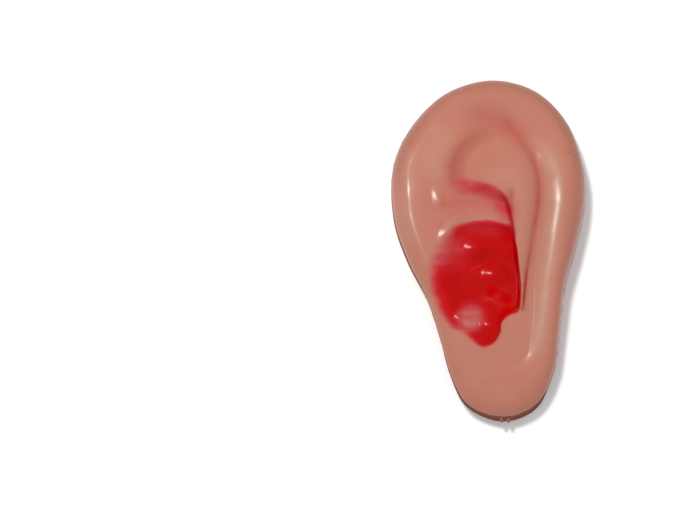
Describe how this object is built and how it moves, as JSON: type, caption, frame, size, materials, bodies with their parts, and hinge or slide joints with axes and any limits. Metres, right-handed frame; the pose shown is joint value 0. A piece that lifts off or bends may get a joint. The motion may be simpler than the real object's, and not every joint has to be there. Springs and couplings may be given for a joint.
{
  "type": "oversized costume ear",
  "caption": "Hollow oversized false ear in glossy flesh-coloured soft plastic with a red-painted bowl, worn over the wearer's own ear through a slot in its flat back.",
  "frame": {"origin": "middle of the ear's outline, on the plane of its flat back", "axes": "+Y from the lobe to the crown, +Z out of the front of the ear, +X towards the helix, the outer curved rim"},
  "size_m": [0.086, 0.1526, 0.0231],
  "materials": {
    "flesh_pvc": "glossy soft PVC in flesh tone, with red airbrushed paint in the bowl of the ear"
  },
  "bodies": {
    "root": {"ear_shell": "flesh_pvc"}
  },
  "joints": []
}
